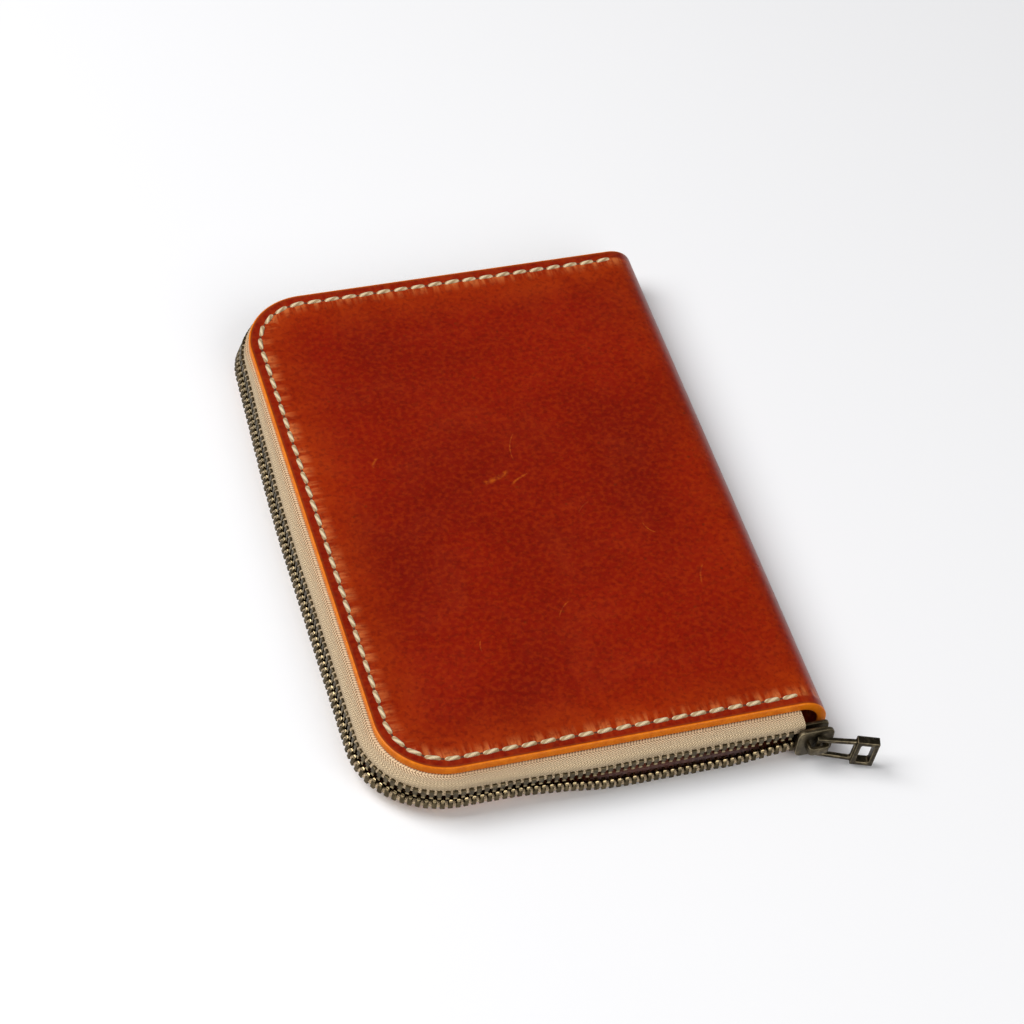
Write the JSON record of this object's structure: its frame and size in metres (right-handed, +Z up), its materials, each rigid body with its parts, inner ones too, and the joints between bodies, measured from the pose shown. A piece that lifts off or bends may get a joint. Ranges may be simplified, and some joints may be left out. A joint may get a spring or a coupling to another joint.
{
  "type": "zip around wallet",
  "caption": "Passport-size leather wallet with a zip round three sides, a fold-flat spine, inner pockets and a slider with a framed puller.",
  "frame": {"origin": "centre of the back cover's outer face, midway between the opening edge and the spine and midway along the spine", "axes": "+Z up through the closed wallet, +X towards the spine, +Y along the spine away from the parked slider"},
  "size_m": [0.107, 0.1466, 0.0129],
  "materials": {
    "cover_leather": "glossy pull-up leather, saddle tan",
    "inner_leather": "thin smooth leather, dark red-brown",
    "zip_tape": "beige woven herringbone tape",
    "zip_teeth": "antique brass",
    "thread": "waxed beige thread",
    "slider_metal": "dark antique brass"
  },
  "bodies": {
    "back": {"back_cover": "cover_leather", "back_panel": "inner_leather", "passport_pocket": "inner_leather", "lower_tape": "zip_tape", "lower_cord": "zip_tape", "lower_teeth": "zip_teeth", "lower_top_stop": "zip_teeth", "lower_bottom_stop": "zip_teeth", "back_seam": "thread"},
    "spine": {"spine": "cover_leather"},
    "front": {"front_cover": "cover_leather", "front_panel": "inner_leather", "card_pocket_1": "inner_leather", "card_pocket_2": "inner_leather", "card_pocket_3": "inner_leather", "card_pocket_seam": "thread", "upper_tape": "zip_tape", "upper_cord": "zip_tape", "upper_teeth": "zip_teeth", "upper_top_stop": "zip_teeth", "front_seam": "thread"},
    "slider": {"slider_body": "slider_metal", "slider_bail": "slider_metal"},
    "puller": {"puller": "slider_metal"}
  },
  "joints": [
    {"name": "spine_fold", "type": "hinge", "parent": "back", "child": "spine", "pos_m": [0.0447, 0, 0.002], "axis": [0, 1, 0], "range_deg": [0, 90]},
    {"name": "front_fold", "type": "hinge", "parent": "spine", "child": "front", "pos_m": [0.0447, 0, 0.0105], "axis": [0, 1, 0], "range_deg": [0, 90]},
    {"name": "zip_slide", "type": "slide", "parent": "back", "child": "slider", "axis": [-1, 0, 0], "range_m": [0, 0.043]},
    {"name": "puller_swing", "type": "hinge", "parent": "slider", "child": "puller", "pos_m": [0.0427, -0.0728, 0.0057], "axis": [0, 0, -1], "range_deg": [-12, 160]}
  ],
  "couplings": [
    {"joint": "front_fold", "follows": "spine_fold", "ratio": 1}
  ]
}
